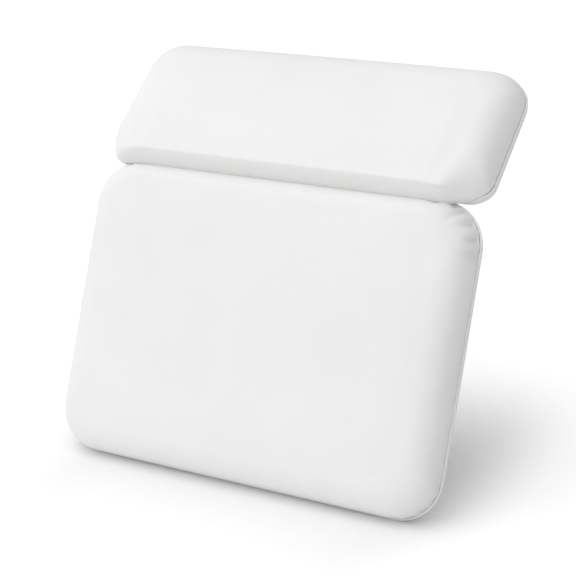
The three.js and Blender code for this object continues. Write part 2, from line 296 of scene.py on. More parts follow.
@dataclass(frozen=True)
class VinylFinish(Finish):
    """Soft white vinyl with a fine pebbled grain, a little rougher in its creases, with shade painted there.
    """

    slot: ClassVar[Slot] = Slot.VINYL
    clean: tuple = (0.885, 0.885, 0.88, 1.0)
    shaded: tuple = (0.835, 0.835, 0.83, 1.0)
    # Painted shade: the darker colour laid into the seam's groove and the pleats' valleys.
    painted_crease_shade: tuple = (0.79, 0.785, 0.775, 1.0)
    painted_shade_share: float = 0.6
    grain_size: float = 0.0011
    pores_per_grain: float = 3.0
    pebble_height: float = 0.7
    pore_height: float = 0.3
    grain_strength: float = 0.22
    grain_depth: float = 0.0002
    mottle_size: float = 0.06
    roughness: float = 0.44
    mottle_dulling: float = 0.08
    crease_dulling: float = 0.1

    def sockets(self, bench: NodeBench) -> dict[str, object]:
        """Colours, roughness and grain for the shader.

        Args:
            bench: the material's nodes.

        Returns:
            A value or a wire for each socket that is set.
        """
        where = bench.place()
        mottle = bench.noise(where, 1.0 / self.mottle_size, detail=3.0)
        pebbles = bench.cells(where, 1.0 / self.grain_size, "SMOOTH_F1")
        pores = bench.noise(where, self.pores_per_grain / self.grain_size)
        # Painted shade from the seam's groove and the pleats' valleys darkens the colour here, and also
        # raises the roughness.
        painted_shade = bench.node("ShaderNodeAttribute", {"attribute_name": PAINTED_SHADE})[ATTRIBUTE_FACTOR]
        tone = bench.mix(mottle, self.clean, self.shaded)
        grain = pebbles * self.pebble_height + pores * self.pore_height
        return {
            "Base Color": bench.mix(painted_shade * self.painted_shade_share, tone, self.painted_crease_shade),
            "Roughness": self.roughness + mottle * self.mottle_dulling + painted_shade * self.crease_dulling,
            "Normal": bench.bump(grain, self.grain_strength, self.grain_depth),
        }


@dataclass(frozen=True)
class FoamFinish(Finish):
    """Cream cushion foam with open pores."""

    slot: ClassVar[Slot] = Slot.FOAM
    cell: tuple = (0.82, 0.74, 0.55, 1.0)
    # Painted shade for the pores' hollows.
    pore_shade: tuple = (0.60, 0.51, 0.34, 1.0)
    pore_size: float = 0.0016
    lump_size: float = 0.004
    pore_shade_share: float = 1.4
    lump_tint: float = 0.25
    roughness: float = 0.88
    lump_dulling: float = 0.1
    pore_strength: float = 0.6
    pore_depth: float = 0.0006

    def sockets(self, bench: NodeBench) -> dict[str, object]:
        """Painted shade in the pores' hollows, and the pores in the height.

        Args:
            bench: the material's nodes.

        Returns:
            A value or a wire for each socket that is set.
        """
        where = bench.place()
        wall = bench.cells(where, 1.0 / self.pore_size, "DISTANCE_TO_EDGE")
        lumps = bench.noise(where, 1.0 / self.lump_size, detail=4.0)
        return {
            # Painted shade: the colour darkens towards the middle of each pore, where its hollow lies.
            "Base Color": bench.mix(wall * self.pore_shade_share + lumps * self.lump_tint, self.cell, self.pore_shade),
            "Roughness": self.roughness + lumps * self.lump_dulling,
            "Normal": bench.bump(lumps - wall, self.pore_strength, self.pore_depth),
        }


@dataclass(frozen=True)
class PvcFinish(Finish):
    """Clear soft PVC, faintly cloudy, with the flow marks of its mould."""

    slot: ClassVar[Slot] = Slot.PVC
    tint: tuple = (0.90, 0.94, 0.95, 1.0)
    cloud: tuple = (0.80, 0.86, 0.88, 1.0)
    cloud_scale: float = 90.0
    flow_scale: float = 420.0
    flow_strength: float = 0.12
    flow_depth: float = 0.0003
    transmission: float = 0.72
    refraction: float = 1.52
    roughness: float = 0.17
    cloud_dulling: float = 0.1

    def sockets(self, bench: NodeBench) -> dict[str, object]:
        """Cloudiness in the colour and roughness.

        Args:
            bench: the material's nodes.

        Returns:
            A value or a wire for each socket that is set.
        """
        where = bench.place()
        cloud = bench.noise(where, self.cloud_scale, detail=3.0)
        flow = bench.noise(where, self.flow_scale)
        return {
            "Base Color": bench.mix(cloud, self.tint, self.cloud),
            "Roughness": self.roughness + cloud * self.cloud_dulling,
            "IOR": self.refraction,
            "Transmission Weight": self.transmission,
            "Normal": bench.bump(flow, self.flow_strength, self.flow_depth),
        }


@dataclass(frozen=True)
class PlasticFinish(Finish):
    """Moulded white plastic with a spark-eroded texture."""

    slot: ClassVar[Slot] = Slot.PLASTIC
    clean: tuple = (0.82, 0.82, 0.80, 1.0)
    worn: tuple = (0.73, 0.73, 0.71, 1.0)
    wear_scale: float = 120.0
    texture_size: float = 0.0004
    texture_strength: float = 0.25
    texture_depth: float = 0.00015
    roughness: float = 0.36
    texture_dulling: float = 0.14

    def sockets(self, bench: NodeBench) -> dict[str, object]:
        """A fine moulded texture.

        Args:
            bench: the material's nodes.

        Returns:
            A value or a wire for each socket that is set.
        """
        where = bench.place()
        texture = bench.noise(where, 1.0 / self.texture_size)
        wear = bench.noise(where, self.wear_scale, detail=3.0)
        return {
            "Base Color": bench.mix(wear, self.clean, self.worn),
            "Roughness": self.roughness + texture * self.texture_dulling,
            "Normal": bench.bump(texture, self.texture_strength, self.texture_depth),
        }


@dataclass
class Workshop:
    """Puts finished meshes into the scene as pieces of the pillow."""

    materials: dict[Slot, bpy.types.Material]
    node_objects: dict[str, bpy.types.Object]
    count: int = 0

    def add(self, name: str, mesh: bpy.types.Mesh, slot: Slot, node: str) -> bpy.types.Object:
        """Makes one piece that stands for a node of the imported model.

        Args:
            name: the piece's name.
            mesh: its finished mesh, in place.
            slot: the finish it takes.
            node: the node that it replaces.

        Returns:
            The piece, which still has to ride on a body.
        """
        mesh.name = name
        mesh.materials.clear()
        mesh.materials.append(self.materials[slot])
        mesh.shade_smooth()
        piece = in_scene(name, mesh)
        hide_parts(node)
        self.count += 1
        LOG.info("%s stands for %s: %d faces", name, node, len(mesh.polygons))
        return piece


def opened(mesh: bpy.types.Mesh) -> bmesh.types.BMesh:
    """Opens a mesh for shaping.

    Args:
        mesh: the mesh, which stays as it is.

    Returns:
        Its shape, to be freed after use.
    """
    bm = bmesh.new()
    bm.from_mesh(mesh)
    return bm


def finished(bm: bmesh.types.BMesh, place: Matrix | None = None) -> bpy.types.Mesh:
    """Hands a shape over as a mesh.

    Args:
        bm: the shape, in its own coordinates. It is freed.
        place: where the shape goes, unless it stays there.

    Returns:
        The mesh.
    """
    if place is not None:
        bmesh.ops.transform(bm, matrix=place, verts=bm.verts)
    mesh = bpy.data.meshes.new("shape")
    bm.to_mesh(mesh)
    bm.free()
    return mesh


def with_modifiers(
    data: bpy.types.Mesh | bpy.types.Curve,
    *steps: tuple[str, dict[str, object]],
) -> bpy.types.Mesh:
    """Makes a mesh of a curve, or of a mesh with modifiers.

    Args:
        data: the curve or mesh to start from.
        steps: each modifier's type and settings, in order.

    Returns:
        A new mesh with the modifiers applied.
    """
    carrier = in_scene("carrier", data)
    for kind, settings in steps:
        modifier = carrier.modifiers.new(kind.lower(), kind)
        for key, value in settings.items():
            setattr(modifier, key, value)
    graph = bpy.context.evaluated_depsgraph_get()
    worked = bpy.data.meshes.new_from_object(carrier.evaluated_get(graph), depsgraph=graph)
    bpy.data.objects.remove(carrier)
    return worked


@dataclass(frozen=True)
class Inflation:
    """Blows a cover up against its seam with the cloth solver."""

    pressure: float = 4.0
    tension: float = 60.0
    bending: float = 8.0
    frames: int = 20
    most: float = 0.0022
    evening_rounds: int = 40

    def run(self, mesh: bpy.types.Mesh, held: list[int]) -> None:
        """Swells a closed mesh in place, outwards only, because the foam keeps it from sinking.

        Args:
            mesh: the slack shape, whose points move.
            held: the points that stay where they are.
        """
        scene = bpy.context.scene
        slack = in_scene("slack_cover", mesh.copy())
        slack.vertex_groups.new(name="seam").add(held, 1.0, "REPLACE")
        cloth = slack.modifiers.new("cloth", "CLOTH")
        settings = cloth.settings
        settings.vertex_group_mass = "seam"
        settings.use_pressure = True
        settings.uniform_pressure_force = self.pressure
        settings.effector_weights.gravity = 0.0
        settings.tension_stiffness = self.tension
        settings.compression_stiffness = self.tension
        settings.shear_stiffness = self.tension / 2
        settings.bending_stiffness = self.bending
        cloth.point_cache.frame_start = 1
        cloth.point_cache.frame_end = self.frames
        for frame in range(1, self.frames + 1):
            scene.frame_set(frame)
        graph = bpy.context.evaluated_depsgraph_get()
        swollen = slack.evaluated_get(graph).to_mesh()
        rises = []
        for point, target in zip(mesh.vertices, swollen.vertices):
            rise = point.normal.dot(target.co - point.co)
            rises.append(min(max(rise, 0.0), self.most))
        moves = [point.normal * rise for point, rise in zip(mesh.vertices, self._evened(mesh, rises))]
        for point, move in zip(mesh.vertices, moves):
            point.co += move
        used = slack.data
        bpy.data.objects.remove(slack)
        bpy.data.meshes.remove(used)
        scene.frame_set(1)

    def _evened(self, mesh: bpy.types.Mesh, rises: list[float]) -> list[float]:
        """Evens out how far neighbouring points rise.

        Args:
            mesh: the shape that the points belong to.
            rises: how far each point rises.

        Returns:
            The evened rises.
        """
        for _ in range(self.evening_rounds):
            sums = list(rises)
            counts = [1] * len(rises)
            for edge in mesh.edges:
                for point, neighbour in (edge.vertices, reversed(edge.vertices)):
                    sums[point] += rises[neighbour]
                    counts[point] += 1
            rises = [total / count for total, count in zip(sums, counts)]
        return rises


@dataclass(frozen=True)
class Ring:
    """One turn round a panel, at an inset from its outline and a depth from its front.

    The draw pulls the side at the hinge further in, and the swell pushes all but its ends out.
    """

    inset: float
    depth: float
    draw: float = 0.0
    swell: float = 0.0


@dataclass(frozen=True)
class Section:
    """A panel's section, as depths from its front and insets from its outline.

    At the fold, the front cover's edge is rolled tighter and swells by up to the overhang, until it
    presses into the other panel's cover, which is rolled as the facing roll says.
    """

    bevel: float
    overhang: float
    hinge_roll: float
    facing_roll: float
    crown: float = 0.005
    edge_depth: float = 0.0245
    wall_depth: float = 0.0015
    seam_half_width: float = 0.0026
    rim_depth: float = 0.0018
    rear_edge_radius: float = 0.004
    edge_inset: float = 0.027
    edge_fullness: float = 2.2
    seam_tuck: float = 0.0014
    lip_curve: float = 1.5
    skin: float = 0.0015
    welt_radius: float = 0.0011
    welt_draw: float = 0.0010
    welt_steps: int = 3
    fit_gap: float = 0.0003
    fold_press: float = 0.0050
    fold_rounds: int = 8
    edge_steps: int = 14
    lip_steps: int = 4
    rear_steps: int = 5

    @property
    def wall_end(self) -> float:
        """Where the front cover turns in to the seam."""
        return self.crown + self.edge_depth + self.wall_depth

    @property
    def seam_depth(self) -> float:
        """Where the covers meet."""
        return self.wall_end + self.seam_half_width

    @property
    def rim_start(self) -> float:
        """Where the rear cover comes out from the seam."""
        return self.seam_depth + self.seam_half_width

    @property
    def rear_start(self) -> float:
        """Where the rear cover's edge begins to round."""
        return self.rim_start + self.rim_depth

    @property
    def thickness(self) -> float:
        """From the front to the rear."""
        return self.rear_start + self.rear_edge_radius

    def front_rings(self) -> list[Ring]:
        """Steps over the front cover's rounded edge, down its wall and in to the seam.

        Returns:
            The rings, from the face to the seam.
        """
        rings = []
        power = 2.0 / self.edge_fullness
        for step in range(self.edge_steps + 1):
            angle = math.pi / 2 * step / self.edge_steps
            inset = self.edge_inset * (1.0 - math.sin(angle) ** power)
            depth = self.edge_depth * (1.0 - max(math.cos(angle), 0.0) ** power)
            rings.append(self._swollen(inset, self.crown + depth))
        rings.extend(self._swollen(tuck, self.wall_end + along) for tuck, along in self._lip())
        return rings

    def rear_rings(self) -> list[Ring]:
        """Steps from the flat rear round its edge and in to the seam.

        Returns:
            The rings, from the rear to the seam.
        """
        rings = []
        for step in range(self.rear_steps + 1):
            angle = math.pi / 2 * (1.0 - step / self.rear_steps)
            inset = self.rear_edge_radius * (1.0 - math.cos(angle))
            rings.append(self._bevelled(inset, self.rear_start + self.rear_edge_radius * math.sin(angle)))
        rings.extend(self._bevelled(tuck, self.rim_start - along) for tuck, along in self._lip())
        return rings

    def _lip(self) -> Iterator[tuple[float, float]]:
        """Steps along the lip that turns in to the seam on either cover.

        Returns:
            How far each step is tucked in, and how far along towards the seam it is.
        """
        length = self.seam_half_width - self.fit_gap / 2
        for step in range(self.lip_steps + 1):
            share = step / self.lip_steps
            yield self.seam_tuck * share**self.lip_curve, length * share

    def _swollen(self, inset: float, depth: float) -> Ring:
        """Makes a ring of the front cover.

        Args:
            inset: how far it is drawn in from the outline.
            depth: how far it is from the front.

        Returns:
            The ring, rolled tighter at the hinge and swollen to meet the other cover.
        """
        swell = self._fold_room(depth) * (1.0 - smoothstep(self.wall_end, self.seam_depth, depth))
        rolled = 0.0 if depth > self.wall_end else inset * (1.0 - self.hinge_roll)
        return Ring(inset, depth, swell=swell + rolled)

    def _bevelled(self, inset: float, depth: float) -> Ring:
        """Makes a ring of the rear cover.

        Args:
            inset: how far it is drawn in from the outline.
            depth: how far it is from the front.

        Returns:
            The ring, drawn in at the hinge to the bevel that its strip lies on.
        """
        clear = (self.fit_gap + HingeStrip.thickness / 2) / math.cos(self.bevel) - HingeStrip.reach
        bevel_inset = clear + (depth - self.rim_start) * math.tan(self.bevel)
        return Ring(inset, depth, max(0.0, bevel_inset - inset))

    def _fold_room(self, depth: float) -> float:
        """Works out how far a front cover can swell into the fold.

        Args:
            depth: a depth from the front.

        Returns:
            The overhang, or less where it would press too far into the other panel's cover.
        """
        ahead = self.rim_start - depth
        sine, cosine = math.sin(HingeStrip.fold), math.cos(HingeStrip.fold)
        room = 0.0
        for _ in range(self.fold_rounds):
            other_depth = self.rim_start - ahead * cosine - room * sine
            room = (ahead * sine + self._facing_inset(other_depth) + self.fold_press) / cosine
            room = min(self.overhang, room)
        return room

    def _facing_inset(self, depth: float) -> float:
        """Works out how far the other panel's rounded edge is drawn in at the fold.

        Args:
            depth: a depth from that panel's front.

        Returns:
            The inset from its outline.
        """
        ahead = min(max((self.crown + self.edge_depth - depth) / self.edge_depth, 0.0), 1.0)
        out = (1.0 - ahead**self.edge_fullness) ** (1.0 / self.edge_fullness)
        return self.facing_roll * self.edge_inset * (1.0 - out)


class Pleat(NamedTuple):
    """One pleat: its place along the seam, its depth, its reach from the seam and its slant."""

    place: float
    depth: float
    reach: float
    slant: float


@dataclass(frozen=True)
class Gathers:
    """The pleats into which a cover is gathered beside the seam at one corner."""

    count: int
    pitch: float
    depth: float
    reach: float
    seed: int
    width: float = 0.0034
    unevenness: float = 0.18
    depth_range: tuple[float, float] = (0.7, 1.1)
    reach_range: tuple[float, float] = (0.75, 1.15)
    most_slant: float = 0.25
    seam_fade: tuple[float, float] = (0.0006, 0.0042)
    full_share: float = 0.3

    @property
    def longest(self) -> float:
        """How far from the seam a pleat can reach."""
        return self.reach * self.reach_range[1]

    def pleats(self) -> list[Pleat]:
        """Draws the pleats, uneven as sewn ones are.

        Returns:
            The pleats, in order along the seam.
        """
        uneven = random.Random(self.seed)
        pleats = []
        for index in range(self.count):
            step = index - (self.count - 1) / 2 + uneven.uniform(-self.unevenness, self.unevenness)
            depth = self.depth * uneven.uniform(*self.depth_range)
            reach = self.reach * uneven.uniform(*self.reach_range)
            slant = uneven.uniform(-self.most_slant, self.most_slant)
            pleats.append(Pleat(step * self.pitch, depth, reach, slant))
        return pleats

    def sink(self, pleats: Iterable[Pleat], along: float, from_seam: float) -> float:
        """Works out how deep the pleats draw a point in.

        Args:
            pleats: the pleats of this corner.
            along: the point's place along the seam, from the corner's middle.
            from_seam: its distance from the seam.

        Returns:
            The depth, which is 0 away from the pleats.
        """
        sink = 0.0
        for pleat in pleats:
            fade = smoothstep(*self.seam_fade, from_seam)
            fade *= 1.0 - smoothstep(pleat.reach * self.full_share, pleat.reach, from_seam)
            off = (along - pleat.place - pleat.slant * from_seam) / self.width
            sink += pleat.depth * fade * math.exp(-off * off)
        return sink


@dataclass(frozen=True)
class CupPlace:
    """Where a suction cup sits on its panel, and the name of that place."""

    side: str
    x: float
    z: float


@dataclass
class Panel:
    """One cushion of the pillow: front and rear covers, a foam core and a welted seam."""

    name: str
    height: float
    upper_corner: float
    lower_corner: float
    hinge_up: int
    place: Matrix
    cups: tuple[CupPlace, ...]
    gathers: dict[Corner, Gathers]
    section: Section
    width: float = 0.340
    inflation: Inflation = field(default_factory=Inflation)
    corner_steps: int = 14
    wide_steps: int = 30
    high_steps: int = 16
    swell_ends: tuple[float, float] = (-0.184, 0.166)
    swell_fade: float = 0.030
    slack: float = 0.0014
    slack_share: float = 0.5
    wander: float = 0.0005
    wander_scales: tuple[float, float] = (34.0, 95.0)
    fine_wander: float = 0.6
    front_wander_fade: float = 0.010
    rear_wander_fade: float = 0.006
    # Painted shade in the seam's groove: where it fades out, how dark it gets, and the pleat depth at which
    # a pleat's painted shade is full.
    groove: tuple[float, float] = (0.0006, 0.0035)
    groove_shade_strength: float = 0.7
    full_shade_sink: float = 0.003
    foam_ease: float = 0.0030
    foam_voxel: float = 0.004
    foam_smoothing: float = 0.4
    foam_smoothing_rounds: int = 2
    rear_puff: float = 0.0011
    puff_from_edge: tuple[float, float] = (0.016, 0.045)
    puff_from_cup: tuple[float, float] = (0.014, 0.036)
    hole_radius: float = 0.0073
    hole_reach: float = 2.0

    @property
    def body(self) -> str:
        """The body that the panel rides on."""
        return f"{self.name}_panel"

    def radius(self, corner: Corner) -> float:
        """The outline's radius at a corner."""
        return self.upper_corner if corner.value[1] > 0 else self.lower_corner

    def corner_centre(self, corner: Corner, inset: float) -> Vector:
        """Finds the middle of a corner's arc.

        Args:
            corner: the corner.
            inset: how far the outline is drawn in.

        Returns:
            The middle's x and z.
        """
        sign_x, sign_z = corner.value
        radius = self.radius(corner)
        reach_x = self.width / 2 - inset - radius
        reach_z = self.height / 2 - inset - radius
        return Vector((sign_x * reach_x, self.height / 2 + sign_z * reach_z))

    def outline(self, ring: Ring) -> list[Vector]:
        """One turn round the panel, from the middle of the lower left corner's arc and to the right.

        Args:
            ring: how far it is drawn in, all round and at the hinge.

        Returns:
            Points of x and z, closest together at the corners.
        """
        corners = list(Corner)
        inset = ring.inset
        points = []
        for side, steps in enumerate((self.wide_steps, self.high_steps) * 2):
            first, second = corners[side], corners[(side + 1) % len(corners)]
            start = math.radians(225 + 90 * side)
            for step in range(self.corner_steps):
                points.append(self._on_arc(first, inset, start + HALF_CORNER * step / self.corner_steps))
            near = self._on_arc(first, inset, start + HALF_CORNER)
            far = self._on_arc(second, inset, start + HALF_CORNER)
            points.extend(near.lerp(far, step / steps) for step in range(steps))
            for step in range(self.corner_steps):
                angle = start + HALF_CORNER * (1.0 + step / self.corner_steps)
                points.append(self._on_arc(second, inset, angle))
        for point in points:
            draw = ring.draw - ring.swell * self._swell_share(point.x)
            point.y -= self.hinge_up * draw * self._hinge_share(inset, point.y)
        return points

    def _on_arc(self, corner: Corner, inset: float, angle: float) -> Vector:
        """A point on a corner's arc."""
        radius = self.radius(corner)
        return self.corner_centre(corner, inset) + Vector((math.cos(angle), math.sin(angle))) * radius

    def _swell_share(self, x: float) -> float:
        """1 along the middle of the fold, down to 0 where the covers part at its two ends."""
        left, right = self.swell_ends
        return smoothstep(left, left + self.swell_fade, x) * smoothstep(right, right - self.swell_fade, x)

    def _hinge_share(self, inset: float, z: float) -> float:
        """Works out how much a place is on the side at the hinge.

        Args:
            inset: how far the outline is drawn in.
            z: the place up the panel.

        Returns:
            1 along that side, down to 0 where its corners end.
        """
        corner = self.upper_corner if self.hinge_up > 0 else self.lower_corner
        hinge_side = self.height / 2 + self.hinge_up * (self.height / 2 - inset)
        return max(0.0, 1.0 - abs(hinge_side - z) / corner)

    def cage(
        self,
        rings: Sequence[Ring],
        rise: Callable[[float, float], float],
    ) -> tuple[bmesh.types.BMesh, list[bmesh.types.BMVert]]:
        """Shapes a cover: a grid over its face, drawn out ring by ring to the seam.

        Args:
            rings: the turns from the face's edge to the seam.
            rise: how far the cover stands out past its rings, by the place across and up.

        Returns:
            The shape, and the points of its last ring.
        """
        across = 2 * self.corner_steps + self.wide_steps
        up = 2 * self.corner_steps + self.high_steps
        bm = bmesh.new()
        station = bm.verts.layers.int.new("station")
        bmesh.ops.create_grid(bm, x_segments=across, y_segments=up, size=1.0)
        border = self.outline(rings[0])
        lower = border[: across + 1]
        right = border[across : across + up + 1]
        upper = border[across + up : 2 * across + up + 1][::-1]
        left = (border[2 * across + up :] + border[:1])[::-1]
        for vert in bm.verts:
            column = round((vert.co.x + 1.0) / 2.0 * across)
            row = round((vert.co.y + 1.0) / 2.0 * up)
            u = (lower[column].x - lower[0].x) / (lower[-1].x - lower[0].x)
            v = (left[row].y - left[0].y) / (left[-1].y - left[0].y)
            ruled = lower[column].lerp(upper[column], v) + left[row].lerp(right[row], u)
            spot = ruled - lower[0].lerp(lower[-1], u).lerp(upper[0].lerp(upper[-1], u), v)
            vert[station] = self._station(column, row, across, up)
            vert.co = (spot.x, rings[0].depth - rise(spot.x, spot.y), spot.y)
        edges = [edge for edge in bm.edges if edge.is_boundary]
        verts = [vert for vert in bm.verts if vert.is_boundary]
        for ring in rings[1:]:
            outline = self.outline(ring)
            grown = bmesh.ops.extrude_edge_only(bm, edges=edges)["geom"]
            verts = [part for part in grown if isinstance(part, bmesh.types.BMVert)]
            fresh = set(verts)
            edges = [
                part
                for part in grown
                if isinstance(part, bmesh.types.BMEdge) and fresh.issuperset(part.verts)
            ]
            for vert in verts:
                spot = outline[vert[station]]
                vert.co = (spot.x, ring.depth - rise(spot.x, spot.y), spot.y)
        bmesh.ops.recalc_face_normals(bm, faces=bm.faces)
        return bm, verts

    @staticmethod
    def _station(column: int, row: int, across: int, up: int) -> int:
        """Finds the outline's point at a place on the grid.

        Args:
            column: the place across.
            row: the place up.
            across: the grid's last column.
            up: the grid's last row.

        Returns:
            The point's number, or -1 inside the grid's border.
        """
        if row == 0:
            return column
        if column == across:
            return across + row
        if row == up:
            return 2 * across + up - column
        if column == 0:
            return 2 * (across + up) - row
        return -1

    def seam_shift(self, x: float, z: float) -> float:
        """Works out how far the seam wanders towards the rear.

        Args:
            x: a place across the panel.
            z: a place up the panel.

        Returns:
            The shift at that place on the outline.
        """
        spot = Vector((x, z, len(self.name)))
        broad, fine = (noise.noise(spot * scale) for scale in self.wander_scales)
        return self.wander * (broad + self.fine_wander * fine)

    def along_corner(self, corner: Corner, x: float, z: float) -> float | None:
        """Measures along the seam from a corner's middle.

        Args:
            corner: the corner.
            x: a place across the panel.
            z: a place up the panel.

        Returns:
            The distance, positive towards the panel's sides and negative towards its ends, or None
            away from this corner.
        """
        sign_x, sign_z = corner.value
        centre = self.corner_centre(corner, 0.0)
        out_x = (x - centre.x) * sign_x
        out_z = (z - centre.y) * sign_z
        radius = self.radius(corner)
        half_arc = radius * HALF_CORNER
        if out_x >= 0.0 and out_z >= 0.0:
            return half_arc - radius * math.atan2(out_z, out_x)
        if out_x >= 0.0:
            return half_arc - out_z
        if out_z >= 0.0:
            return out_x - half_arc
        return None

    def gather(self, mesh: bpy.types.Mesh) -> None:
        """Draws a front cover into pleats beside the seam, paints shade into the pleats' valleys and the
        seam's groove, and lets the seam wander.

        Args:
            mesh: the cover, in the panel's own place, with points close enough to hold a pleat.
        """
        painted_shade = mesh.attributes.new(PAINTED_SHADE, "FLOAT", "POINT")
        seam = self.section.seam_depth
        pleats = {corner: gathers.pleats() for corner, gathers in self.gathers.items()}
        moves = []
        for vert in mesh.vertices:
            from_seam = seam - vert.co.y
            sink = 0.0
            for corner, gathers in self.gathers.items():
                along = self.along_corner(corner, vert.co.x, vert.co.z)
                if along is not None and from_seam < gathers.longest:
                    sink += gathers.sink(pleats[corner], along, from_seam)
            near = 1.0 - smoothstep(0.0, self.front_wander_fade, from_seam)
            shift = Vector((0.0, self.seam_shift(vert.co.x, vert.co.z) * near, 0.0))
            moves.append(shift - vert.normal * sink)
            # Painted shade in the seam's groove and in the pleats' valleys.
            painted_shade.data[vert.index].value = min(1.0, self._groove_shade(from_seam) + sink / self.full_shade_sink)
        for vert, move in zip(mesh.vertices, moves):
            vert.co += move

    def _groove_shade(self, from_seam: float) -> float:
        """How much shade is painted on a cover in the seam's groove."""
        return self.groove_shade_strength * (1.0 - smoothstep(*self.groove, from_seam))

    def front_cover(self, shop: Workshop) -> bpy.types.Object:
        """Builds the crowned front cover, swelled by the cloth solver and gathered at its corners.

        Args:
            shop: takes the piece.

        Returns:
            The cover.
        """
        section = self.section
        bm, seam = self.cage(section.front_rings(), self._crown)
        bm.normal_update()
        for vert in bm.verts:
            slackest = section.crown + section.edge_depth * self.slack_share
            vert.co -= vert.normal * self.slack * smoothstep(section.seam_depth, slackest, vert.co.y)
        held = self._held(bm)
        bmesh.ops.contextual_create(bm, geom=seam)
        mesh = finished(bm)
        self.inflation.run(mesh, held)
        bm = opened(mesh)
        caps = [face for face in bm.faces if len(face.verts) > 4]
        bmesh.ops.delete(bm, geom=caps, context="FACES_ONLY")
        fine = with_modifiers(finished(bm), SUBDIVIDED)
        self.gather(fine)
        fine.transform(self.place)
        piece = shop.add(f"{self.name}_front_skin", fine, Slot.VINYL, f"{self.name}_front_cover")
        self._thicken(piece)
        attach(piece, self.body)
        return piece

    def _crown(self, x: float, z: float) -> float:
        """Works out how far the crown stands out.

        Args:
            x: a place across the panel.
            z: a place up the panel.

        Returns:
            The rise at that place.
        """
        across = min(1.0, abs(x) / (self.width / 2))
        up = min(1.0, abs(2.0 * z / self.height - 1.0))
        return self.section.crown * (1.0 - across * across) * (1.0 - up * up)

    def _held(self, bm: bmesh.types.BMesh) -> list[int]:
        """The points of a cover that its seam holds."""
        bm.verts.index_update()
        return [vert.index for vert in bm.verts if vert.co.y > self.section.wall_end]

    def _thicken(self, piece: bpy.types.Object) -> None:
        """Gives a cover the thickness of its skin, inwards.

        Args:
            piece: the cover.
        """
        wall = piece.modifiers.new("skin", "SOLIDIFY")
        wall.thickness = self.section.skin
        wall.offset = -1.0

    def rear_cover(self, shop: Workshop) -> bpy.types.Object:
        """Builds the rear cover: a shallow pan, drawn in where the cups' washers clamp it.

        Args:
            shop: takes the piece.

        Returns:
            The cover.
        """
        section = self.section
        bm, _ = self.cage(section.rear_rings(), lambda x, z: 0.0)
        mesh = with_modifiers(finished(bm), SUBDIVIDED)
        self._punch(mesh)
        painted_shade = mesh.attributes.new(PAINTED_SHADE, "FLOAT", "POINT")
        for vert in mesh.vertices:
            behind_seam = vert.co.y - section.seam_depth
            near = 1.0 - smoothstep(0.0, self.rear_wander_fade, behind_seam)
            # Painted shade on the rear cover beside the seam's groove.
            painted_shade.data[vert.index].value = self._groove_shade(behind_seam)
            vert.co.y += self.seam_shift(vert.co.x, vert.co.z) * near
            vert.co.y += self._puff(vert.co) * smoothstep(section.rear_start, section.thickness, vert.co.y)
        mesh.transform(self.place)
        piece = shop.add(f"{self.name}_rear_skin", mesh, Slot.VINYL, f"{self.name}_rear_cover")
        self._thicken(piece)
        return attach(piece, self.body)

    def _punch(self, mesh: bpy.types.Mesh) -> None:
        """Opens a round hole in the rear cover for each eyelet's collar.

        Args:
            mesh: the cover, in the panel's own place.
        """
        bm = opened(mesh)
        for cup in self.cups:
            axis = Vector((cup.x, self.section.thickness, cup.z))
            inside = [
                face for face in bm.faces if (face.calc_center_median() - axis).length < self.hole_radius
            ]
            bmesh.ops.delete(bm, geom=inside, context="FACES")
            for vert in bm.verts:
                away = vert.co - axis
                if vert.is_boundary and away.length < self.hole_reach * self.hole_radius:
                    vert.co = axis + away.normalized() * self.hole_radius
        bm.to_mesh(mesh)
        bm.free()

    def _puff(self, spot: Vector) -> float:
        """Works out how far the foam pushes the rear cover out between the cups and the edges.

        Args:
            spot: a point on the cover.

        Returns:
            The rise at that point.
        """
        from_side = self.width / 2 - abs(spot.x)
        from_end = min(spot.z, self.height - spot.z)
        puff = smoothstep(*self.puff_from_edge, from_side) * smoothstep(*self.puff_from_edge, from_end)
        for cup in self.cups:
            puff *= smoothstep(*self.puff_from_cup, math.hypot(spot.x - cup.x, spot.z - cup.z))
        return self.rear_puff * puff

    def foam_core(self, shop: Workshop) -> bpy.types.Object:
        """Builds the foam core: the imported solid, remeshed, eased as cut foam is and pressed in.

        Args:
            shop: takes the piece.

        Returns:
            The core.
        """
        node = f"{self.name}_foam_core"
        bm = opened(shop.node_objects[node].data)
        bmesh.ops.remove_doubles(bm, verts=bm.verts, dist=MERGE_DISTANCE)
        mesh = with_modifiers(
            finished(bm),
            ("REMESH", {"mode": "VOXEL", "voxel_size": self.foam_voxel}),
            ("SMOOTH", {"factor": self.foam_smoothing, "iterations": self.foam_smoothing_rounds}),
            ("DISPLACE", {"strength": -self.foam_ease, "mid_level": 0.0}),
        )
        piece = shop.add(f"{self.name}_foam_block", mesh, Slot.FOAM, node)
        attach(piece, self.body)
        return piece

    def seam_welt(self, shop: Workshop) -> bpy.types.Object:
        """Builds the thin bead in the seam's groove, which wanders with the seam.

        Args:
            shop: takes the piece.

        Returns:
            The bead.
        """
        section = self.section
        curve = bpy.data.curves.new("welt", "CURVE")
        curve.dimensions = "3D"
        curve.bevel_depth = section.welt_radius
        curve.bevel_resolution = section.welt_steps
        outline = self.outline(Ring(0.0, section.seam_depth, section.welt_draw))
        spline = curve.splines.new("POLY")
        spline.points.add(len(outline) - 1)
        spline.use_cyclic_u = True
        for point, spot in zip(spline.points, outline):
            depth = section.seam_depth + self.seam_shift(spot.x, spot.y)
            point.co = (spot.x, depth, spot.y, 1.0)
        mesh = with_modifiers(curve)
        mesh.transform(self.place)
        piece = shop.add(f"{self.name}_welt_bead", mesh, Slot.VINYL, f"{self.name}_seam_welt")
        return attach(piece, self.body)

